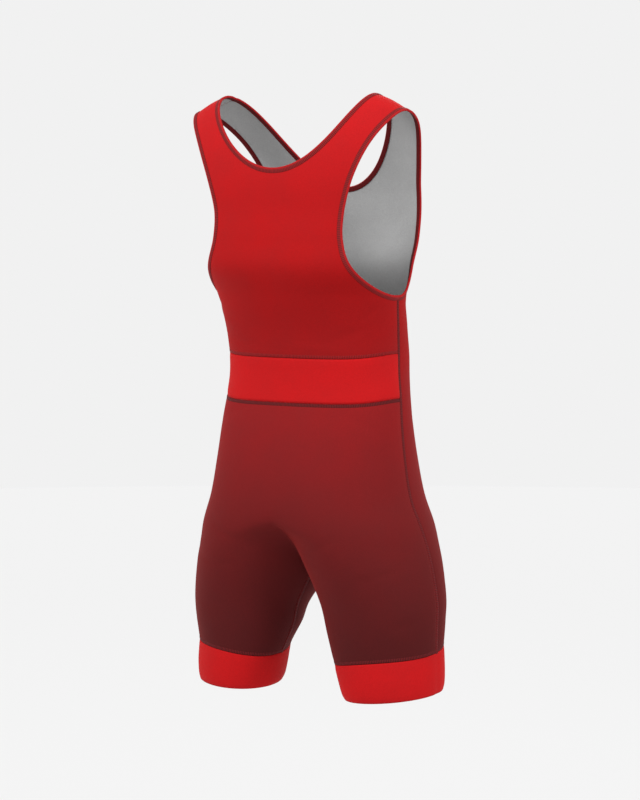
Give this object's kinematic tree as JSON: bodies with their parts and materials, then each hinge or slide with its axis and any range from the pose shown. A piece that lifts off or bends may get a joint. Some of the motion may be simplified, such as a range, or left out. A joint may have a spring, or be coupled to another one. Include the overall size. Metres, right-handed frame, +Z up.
{
  "type": "wrestling singlet",
  "caption": "Men's wrestling singlet in red and maroon stretch knit, worn with no wearer: wide straps, deep armholes, back waist band and short legs with hem bands.",
  "frame": {"origin": "midway between the shoulders, at the height of the strap tops, where a wearer's shoulders hold it up", "axes": "+Z up, +Y towards the garment's back, -Y towards its front, +X towards the wearer's left"},
  "size_m": [0.4002, 0.235, 0.8506],
  "materials": {
    "body_knit": "matte stretch knit, bright red at the shoulders shading to dark maroon at the thighs, grey inside",
    "band_knit": "matte stretch knit in even bright red",
    "binding": "narrow folded knit binding, red rim with maroon coverstitch"
  },
  "bodies": {
    "root": {"front_panel": "body_knit", "upper_back_panel": "body_knit", "waist_band": "band_knit", "lower_back_panel": "body_knit", "leg_band_left": "band_knit", "leg_band_right": "band_knit", "neck_binding": "binding", "armhole_binding_left": "binding", "armhole_binding_right": "binding"}
  },
  "joints": []
}
